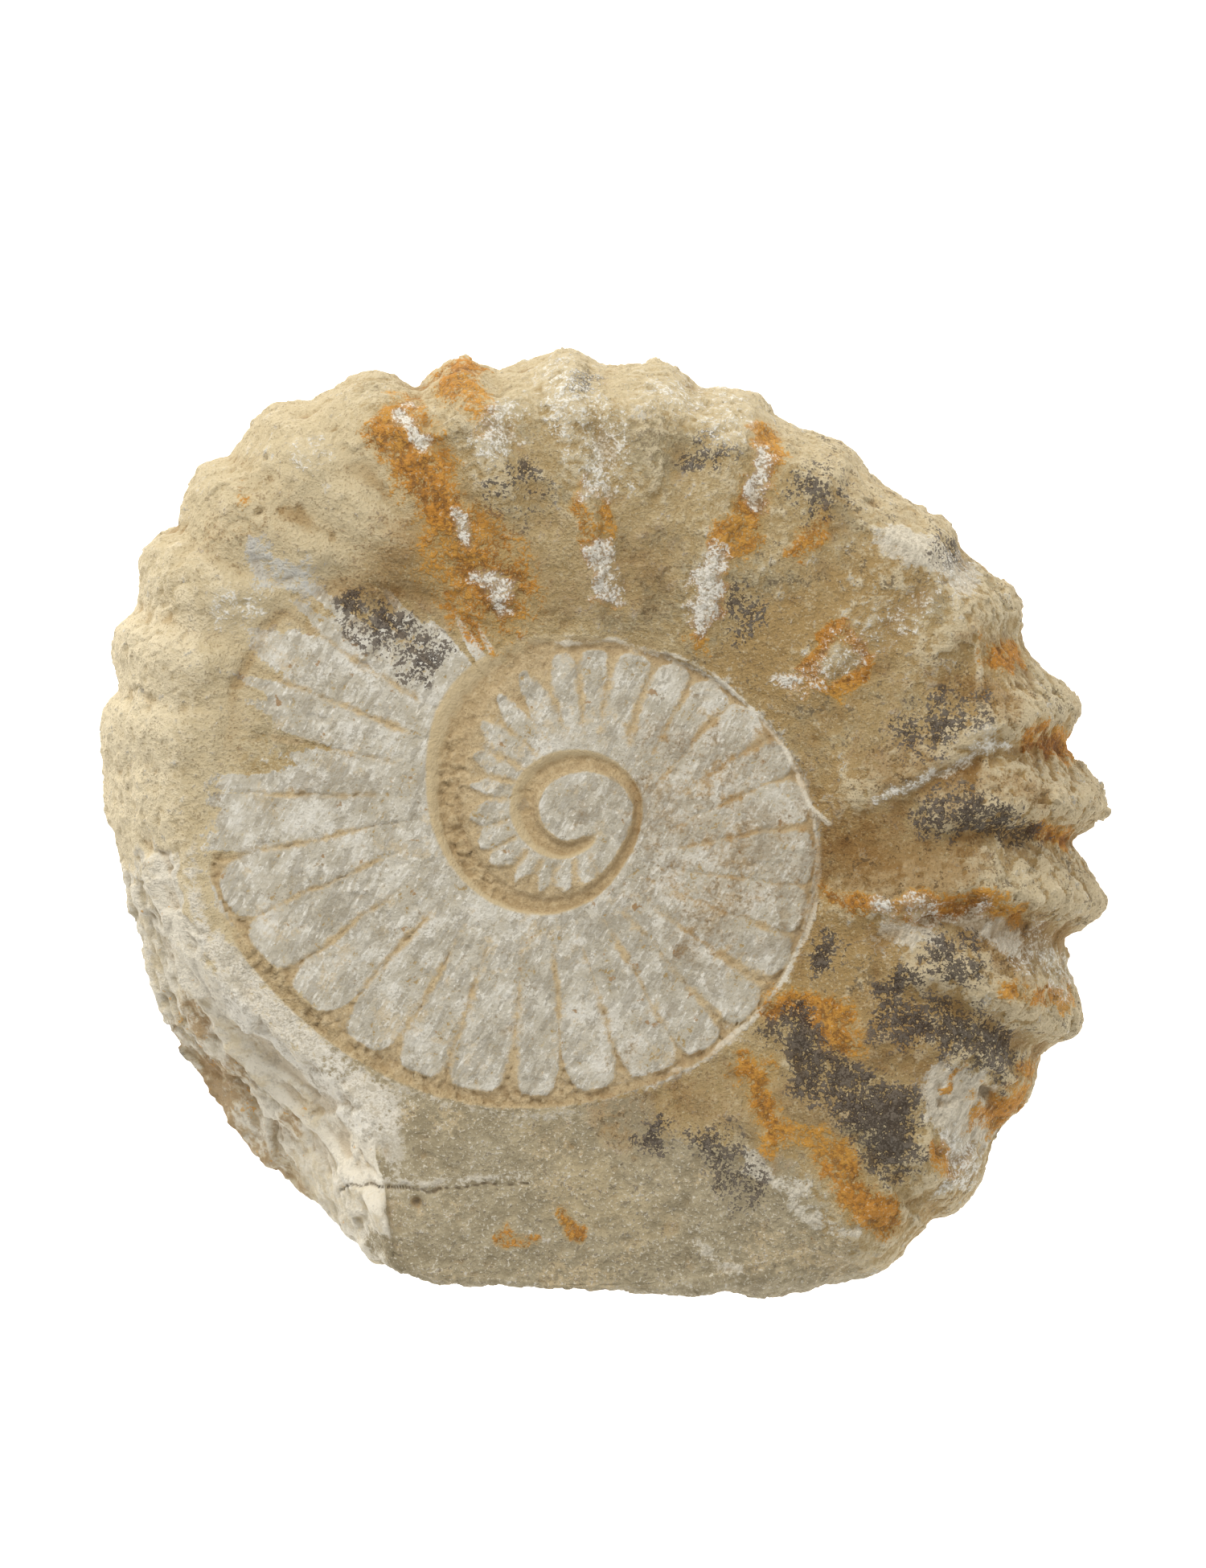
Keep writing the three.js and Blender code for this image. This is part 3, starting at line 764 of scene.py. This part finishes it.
def buildRock():
    count = rock["gridCount"]
    angle, reach = discGrid(count)
    top = topShape(angle, reach)
    back = backShape(angle, reach)
    findRegions(top)
    relief = carveFace(top)
    top.pushOut(relief + weatherTop(top))
    back.pushOut(weatherBack(back))
    topValues = topMarks(top)
    backValues = backMarks(back, topValues)
    values = {name: joined(topValues[name], backValues[name]) for name in topValues}

    inner = count - 2
    topIndex = np.arange(count * count).reshape(count, count)
    backIndex = topIndex.copy()
    backIndex[1:-1, 1:-1] = count * count + np.arange(inner * inner).reshape(inner, inner)
    faces = np.concatenate((quads(topIndex), quads(backIndex)[:, ::-1]))

    # the flat map: a large disc for the upper side and a small one for the back
    turn = np.radians(angle)
    disc = np.stack((reach * np.cos(turn), reach * np.sin(turn)), axis=-1)
    topMap = (np.array((0.4, 0.6)) + disc * 0.395).reshape(-1, 2)
    backMap = (np.array((0.82, 0.18)) + disc * (0.17, -0.17)).reshape(-1, 2)
    corners = quads(topIndex)
    flat = np.concatenate((topMap[corners].reshape(-1, 2), backMap[corners[:, ::-1]].reshape(-1, 2)))
    return joined(top.points, back.points), faces, values, flat


def meshFrom(name, vertices, faces, values, flat):
    mesh = bpy.data.meshes.new(name)
    mesh.vertices.add(len(vertices))
    mesh.vertices.foreach_set("co", (vertices * mm).astype(np.float32).ravel())
    mesh.loops.add(faces.size)
    mesh.loops.foreach_set("vertex_index", faces.astype(np.int32).ravel())
    mesh.polygons.add(len(faces))
    mesh.polygons.foreach_set("loop_start", np.arange(0, faces.size, 4, dtype=np.int32))
    mesh.polygons.foreach_set("use_smooth", np.ones(len(faces), bool))
    mesh.update(calc_edges=True)
    for mark, amounts in values.items():
        layer = mesh.attributes.new(mark, "FLOAT", "POINT")
        layer.data.foreach_set("value", amounts.astype(np.float32))
    uv = mesh.uv_layers.new(name="OFBake")
    uv.data.foreach_set("uv", flat.astype(np.float32).ravel())
    return mesh


vertices, faces, values, flat = buildRock()
vertices = vertices + (rock["centre"][0], rock["centre"][1], 0)
vertices[:, 2] = np.maximum(vertices[:, 2], 0)
mesh = meshFrom("ammoniteFossil", vertices, faces, values, flat)
fossil = bpy.data.objects.new("ammoniteFossil", mesh)
bpy.context.collection.objects.link(fossil)
print("rock shaped:", len(vertices), "points")

# the stone's finish


class Wire:  # one socket, so that sums of masks read as plain sums
    def __init__(self, tree, socket):
        self.tree = tree
        self.socket = socket

    def maths(self, operation, first, second=0.0):
        return self.tree.node("Math", {"operation": operation}, {0: first, 1: second})

    def __add__(self, other):
        return self.maths("ADD", self, other)

    __radd__ = __add__

    def __sub__(self, other):
        return self.maths("SUBTRACT", self, other)

    def __rsub__(self, other):
        return self.maths("SUBTRACT", other, self)

    def __mul__(self, other):
        return self.maths("MULTIPLY", self, other)

    __rmul__ = __mul__

    def __pow__(self, other):
        return self.maths("POWER", self, other)

    def over(self, low, high):  # 0 below low, 1 above high, soft between
        settings = {"interpolation_type": "SMOOTHSTEP"}
        return self.tree.node("MapRange", settings, {"Value": self, "From Min": low, "From Max": high})


class Finish:
    def __init__(self, name):
        self.material = bpy.data.materials.new(name)
        self.material.use_nodes = True
        self.nodes = self.material.node_tree.nodes
        self.links = self.material.node_tree.links
        self.skin = self.nodes["Principled BSDF"]
        self.place = Wire(self, self.nodes.new("ShaderNodeTexCoord").outputs["Object"])

    def feed(self, socket, value):
        if isinstance(value, Wire):
            self.links.new(value.socket, socket)
        else:
            socket.default_value = value

    def node(self, kind, settings, sockets, output=0):
        made = self.nodes.new("ShaderNode" + kind)
        for name, value in settings.items():
            setattr(made, name, value)
        for name, value in sockets.items():
            self.feed(made.inputs[name], value)
        return Wire(self, made.outputs[output])

    def mark(self, name):
        return self.node("Attribute", {"attribute_name": name}, {}, "Fac")

    def patch(self, name, edge, low, high):  # a mark with its edge broken up, and nothing where it is 0
        amount = self.mark(name)
        return (amount + edge).over(low, high) * amount.over(0.02, 0.2)

    def lumps(self, size, detail=3, keep=0.55, shift=0.0, place=None):  # size in mm; about 0.5 on average
        moved = (shift, shift * 0.7, shift * 1.3)
        where = self.node("VectorMath", {"operation": "ADD"}, {0: place or self.place, 1: moved})
        sockets = {"Vector": where, "Scale": 1 / (size * mm), "Detail": detail, "Roughness": keep}
        return self.node("TexNoise", {}, sockets)

    def cells(self, size, place):  # angular patches about as big as size, each with its own shade around 0.5
        return self.node("TexVoronoi", {}, {"Vector": place, "Scale": 1 / (size * mm)}, "Color")

    def nudged(self, place, push, amount):  # a place moved about by a colour, in mm
        pushes = {0: push, 1: (amount * mm,) * 3, 2: place}
        return self.node("VectorMath", {"operation": "MULTIPLY_ADD"}, pushes)

    def stroked(self, turn, length):  # a place for slanting strokes: it turns first and stretches after
        sockets = {"Vector": self.place, "Rotation": (0, 0, turn), "Scale": (length, 1, 1)}
        return self.node("Mapping", {"vector_type": "TEXTURE"}, sockets)

    def blend(self, amount, below, above, how="MIX"):
        made = self.nodes.new("ShaderNodeMix")
        made.data_type = "RGBA"
        made.blend_type = how
        self.feed(made.inputs[0], amount)
        self.feed(made.inputs[6], below)
        self.feed(made.inputs[7], above)
        return Wire(self, made.outputs[2])

    def layered(self, colour, *layers):  # layers of paint, each with how much of it shows
        for amount, above in layers:
            colour = self.blend(amount, colour, above)
        return colour


def paint(red, green, blue):  # a colour as a paint chart gives it, 0 to 255
    return tuple(((c / 255 + 0.055) / 1.055) ** 2.4 for c in (red, green, blue)) + (1,)


stone = {
    "tan": paint(192, 171, 129),
    "tanDeep": paint(160, 136, 92),
    "tanPale": paint(206, 190, 156),
    "tanWarm": paint(164, 134, 84),
    "umber": paint(214, 196, 170),
    "olive": paint(154, 142, 112),
    "cream": paint(198, 181, 145),
    "creamPale": paint(222, 207, 174),
    "pepper": paint(112, 100, 80),
    "groundDark": paint(178, 169, 149),
    "groundPale": paint(198, 191, 174),
    "groundWarm": paint(176, 164, 138),
    "groundLight": paint(214, 209, 196),
    "groundGrey": paint(162, 154, 136),
    "groundShade": paint(146, 136, 116),
    "bevel": paint(192, 171, 131),
    "sand": paint(193, 171, 132),
    "sandDeep": paint(170, 147, 108),
    "matrix": paint(173, 160, 131),
    "matrixDeep": paint(146, 133, 105),
    "chalk": paint(220, 211, 191),
    "chalkGrey": paint(188, 179, 160),
    "brown": paint(160, 130, 88),
    "rust": paint(186, 124, 40),
    "rustDeep": paint(124, 80, 32),
    "ochre": paint(206, 152, 66),
    "rustDull": paint(152, 118, 74),
    # painted shade: the tint multiplied into broad valleys
    "rustPale": paint(188, 154, 92),
    "valleyShade": paint(205, 184, 150),
    "calcite": paint(230, 224, 210),
    "calciteGrey": paint(194, 186, 166),
    "manganese": paint(58, 49, 44),
    "manganeseGrey": paint(108, 98, 86),
    "bloom": paint(196, 199, 197),
    "smudge": paint(150, 138, 116),
    "fleck": paint(126, 102, 66),
    "roughness": 0.92,
    "groundPolish": 0.06,  # how much less rough the ground face is
    "specular": 0.3,
}


def limestone(c):
    f = Finish("limestone")
    big = f.lumps(24, 3, 0.5, 0.11) - 0.5
    cloud = f.lumps(9, 4, 0.6, 0.61) - 0.5
    patchy = f.lumps(6, 4, 0.7, 0.87) - 0.5
    mid = f.lumps(4, 5, 0.65, 0.23) - 0.5
    spot = f.lumps(2.1, 2, 0.5, 0.83) - 0.5
    speck = f.lumps(2.0, 4, 0.75, 0.47) - 0.5
    fine = f.lumps(1.2, 4, 0.7, 0.37) - 0.5
    crumb = f.lumps(0.8, 3, 0.6, 0.53) - 0.5
    grit = f.lumps(0.4, 3, 0.6, 0.41) - 0.5
    hollow = f.mark("hollow") - 0.5
    mottle = mid + fine  # about -0.3 to 0.3
    edge = mid * 1.2 + fine * 1.4 + grit * 0.6  # breaks up the edge of a region
    bend = f.node("TexNoise", {}, {"Vector": f.place, "Scale": 700, "Detail": 3}, "Color")
    steep = f.stroked(1.05, 4)
    scratches = f.lumps(0.5, 4, 0.65, 0.71, steep) - 0.5
    scuffs = f.lumps(1.6, 4, 0.7, 0.77, f.stroked(0.45, 3)) - 0.5
    chips = f.cells(0.8, f.nudged(steep, bend, 1.4)) - 0.5
    flakes = f.cells(1.8, f.nudged(f.place, bend, 1.6)) - 0.5
    sandy, ground, warm, slope, low = (f.mark(name) for name in ("sand", "ground", "warm", "slope", "low"))

    peppery = (warm + cloud * 2 + 0.1).over(0.2, 0.9)
    flank = f.layered(
        f.blend((mid * 0.8 + fine * 1.3 + grit * 0.8).over(-0.24, 0.22), c["tanDeep"], c["tan"]),
        ((cloud + fine * 0.6).over(0.0, 0.14) * 0.7, c["olive"]),
        ((big + mid * 0.5 + warm * 0.2).over(0.05, 0.25) * 0.8, c["tanWarm"]),
        # painted highlight on rib crests and painted shade in hollows, over the tan
        ((f.mark("lift") * 0.5 + fine * 1.2 - hollow * 1.8).over(0.12, 0.5) * 0.75, c["tanPale"]),
        ((f.mark("cream") + mottle * 1.6).over(0.1, 0.9) * 0.9, c["cream"]),
        # painted shade: the pale cream kept out of hollows
        ((f.mark("pale") + mottle * 2.4 - hollow).over(0.15, 1.1) * 0.75, c["creamPale"]),
        ((speck + grit * 0.6 + cloud * 0.4).over(0.13, 0.16) * peppery * 0.75, c["pepper"]),
        ((grit + fine * 0.6).over(0.06, 0.16) * 0.5, c["fleck"]),
        ((crumb * 0.6 - grit).over(0.08, 0.18) * 0.5, c["tanPale"]),
    )
    groundStone = f.layered(  # pale, with slanting strokes, chips and rusty spots
        f.blend((mid * 1.4 + fine * 0.6).over(-0.2, 0.2), c["groundDark"], c["groundPale"]),
        (warm.over(0.1, 0.9) * 0.6, c["groundWarm"]),
        ((mid * 0.7 - cloud + scuffs * 0.4).over(0.02, 0.2) * 0.5, c["groundLight"]),
        ((flakes * 0.4 + cloud + scuffs * 0.5).over(0.0, 0.2) * 0.45, c["groundGrey"]),
        ((patchy + fine * 0.6).over(0.06, 0.18) * 0.5, c["sand"]),
        ((scratches + mid * 0.6 + chips * 0.2).over(0.0, 0.14) * 0.7, c["groundLight"]),
        ((flakes * 0.3 + big + mid * 0.8).over(0.14, 0.24) * 0.4, c["groundShade"]),
        ((chips + cloud * 0.6 + grit * 0.5).over(0.16, 0.24) * 0.55, c["groundShade"]),
        ((grit + fine * 0.5).over(0.04, 0.16) * 0.4, c["groundGrey"]),
        ((spot + fine * 0.4).over(0.21, 0.25) * 0.8, c["rustDull"]),
        ((speck + grit * 0.5).over(0.16, 0.22) * 0.5, c["fleck"]),
        ((crumb + scratches - chips * 0.2).over(0.16, 0.3) * 0.6, c["calcite"]),
    )
    sand = f.layered(
        f.blend((grit + fine).over(-0.16, 0.16), c["sandDeep"], c["sand"]),
        ((crumb + grit * 0.8).over(0.14, 0.2) * 0.6, c["fleck"]),
        ((fine - crumb).over(0.16, 0.24) * 0.5, c["tanPale"]),
    )
    matrix = f.layered(  # the plain limestone that the shell lies in
        f.blend(mottle.over(-0.2, 0.2), c["matrixDeep"], c["matrix"]),
        ((cloud + fine).over(0.02, 0.2) * 0.6, c["sand"]),
        ((big + mid * 0.6).over(-0.02, 0.2) * 0.45, c["tan"]),
        ((grit + fine * 0.3).over(0.07, 0.15) * 0.7, c["chalk"]),
        ((fine - crumb + grit * 0.4).over(0.13, 0.21) * 0.7, c["pepper"]),
        ((speck + crumb * 0.7).over(0.24, 0.27) * 0.7, c["rustDull"]),
    )
    # painted shade: the matrix colour comes in down the broken slope and in hollows, with random mottling
    worn = mid * 0.8 + hollow * 0.4 + big * 0.8 + scuffs * 0.5 + slope * 0.5 - 0.28
    broken = f.layered(  # chalky at the top, darker down the slope and in hollows as painted shade, with brown lumps low down
        f.blend(worn.over(0.02, 0.4) * 0.85, c["chalk"], c["matrix"]),
        ((fine + grit + flakes * 0.3).over(0.0, 0.2) * 0.55, c["chalkGrey"]),
        ((cloud + scuffs * 0.6 + slope * 0.1).over(0.04, 0.22) * 0.7, c["tanPale"]),
        ((cloud * 1.6 + low * 0.36 + fine).over(0.24, 0.55) * 0.8, c["brown"]),
        ((mid * 1.2 + crumb + low * 0.08).over(0.27, 0.36) * 0.7, c["ochre"]),
    )
    rusty = f.layered(
        f.blend((mid + crumb + grit * 0.7 - hollow * 0.5).over(-0.18, 0.2), c["rustDeep"], c["rust"]),
        ((fine + cloud + grit * 0.5).over(-0.04, 0.2) * 0.8, c["ochre"]),
        ((crumb - grit + mid * 0.5).over(0.16, 0.26) * 0.6, c["tanPale"]),
    )
    chalky = f.blend((fine + grit + mid * 1.4).over(-0.1, 0.24), c["calcite"], c["chalkGrey"])
    bare = f.blend(scratches.over(-0.1, 0.1), c["chalkGrey"], c["chalk"])
    black = f.blend((grit + fine).over(-0.05, 0.16), c["manganese"], c["manganeseGrey"])
    crystal = f.blend((fine + grit).over(-0.12, 0.12), c["calciteGrey"], c["calcite"])

    regions = f.layered(
        flank,
        ((f.mark("matrix") + edge * 0.8).over(0.3, 0.7), matrix),
        ((f.mark("broken") + edge * 0.8).over(0.3, 0.7), broken),
        ((f.mark("band") + edge * 1.4).over(0.25, 0.85) * 0.8, chalky),
        ((ground + edge * 1.6 + scratches).over(0.35, 0.65), groundStone),
        ((f.mark("bevel") + fine * 0.8 + mid * 0.6).over(0.1, 0.9) * 0.9, c["bevel"]),
        ((sandy + fine * 1.4 + mid).over(0.2, 0.8) * 0.95, sand),
        # painted shade in the hollows of the sand
        ((hollow + grit * 0.3).over(0.06, 0.3) * sandy * 0.16, c["fleck"]),
        ((f.mark("shell") + fine * 1.5).over(0.25, 0.7) * 0.75, c["chalk"]),
    )
    blackEdge = edge * 1.9 + crumb * 1.2 + grit * 2.2 + chips * 0.4
    stained = f.layered(
        f.blend(f.patch("umber", edge + cloud, 0.1, 0.8), regions, c["umber"], "MULTIPLY"),
        (f.patch("scar", edge * 0.8, 0.35, 0.6) * 0.8, bare),
        (f.patch("bloom", edge, 0.35, 0.65) * 0.6, c["bloom"]),
        (f.patch("smudge", edge * 1.3, 0.4, 0.7) * 0.5, c["smudge"]),
        (f.patch("rust", edge, 0.0, 0.6) * 0.5, c["rustPale"]),
        (f.patch("rust", edge * 1.6 + grit, 0.3, 0.8) * 0.9, rusty),
        (f.patch("manganese", blackEdge, 0.44, 0.54) * 0.92, black),
        (f.patch("calcite", edge * 2.2, 0.2, 0.5) * f.mark("rust").over(0.02, 0.4) * 0.7, rusty),
        (f.patch("calcite", edge + grit, 0.05, 0.7) * 0.45, c["calciteGrey"]),
        (f.patch("calcite", edge * 1.6 + crumb * 1.6 + grit * 2.2, 0.4, 0.95) * 0.95, crystal),
        # painted shade: every hollow darkened
        (hollow.over(0.12, 0.45) * 0.2, c["sandDeep"]),
    )
    # painted shade: broad valleys darkened by this tint, less in sand and on the broken side
    deep = (f.mark("valley") + mottle * 0.4).over(0.53, 0.85) * (0.7 - f.mark("broken") * 0.3)
    valleyShaded = f.blend(deep * (1 - sandy * 0.7), stained, c["valleyShade"], "MULTIPLY")
    cracked = f.blend((f.mark("crack") + fine).over(0.3, 0.8) * 0.7, valleyShaded, c["pepper"])

    f.feed(f.skin.inputs["Base Color"], cracked)
    f.feed(f.skin.inputs["Roughness"], c["roughness"] - ground * c["groundPolish"])
    f.feed(f.skin.inputs["Specular IOR Level"], c["specular"])
    grain = mid * 1.2 + fine + grit * 0.5 + crumb * 0.5
    coarse = 1.1 - ground * 0.9 - f.mark("matrix") * 0.35 - f.mark("cream") * 0.4
    height = grain * coarse + (scratches + grit) * ground * 0.22
    f.feed(f.skin.inputs["Normal"], f.node("Bump", {}, {"Strength": 0.8, "Distance": mm, "Height": height}))
    return f.material


mesh.materials.append(limestone(stone))
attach(fossil, "root")
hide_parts("ammonite_fossil")
print("finish applied")
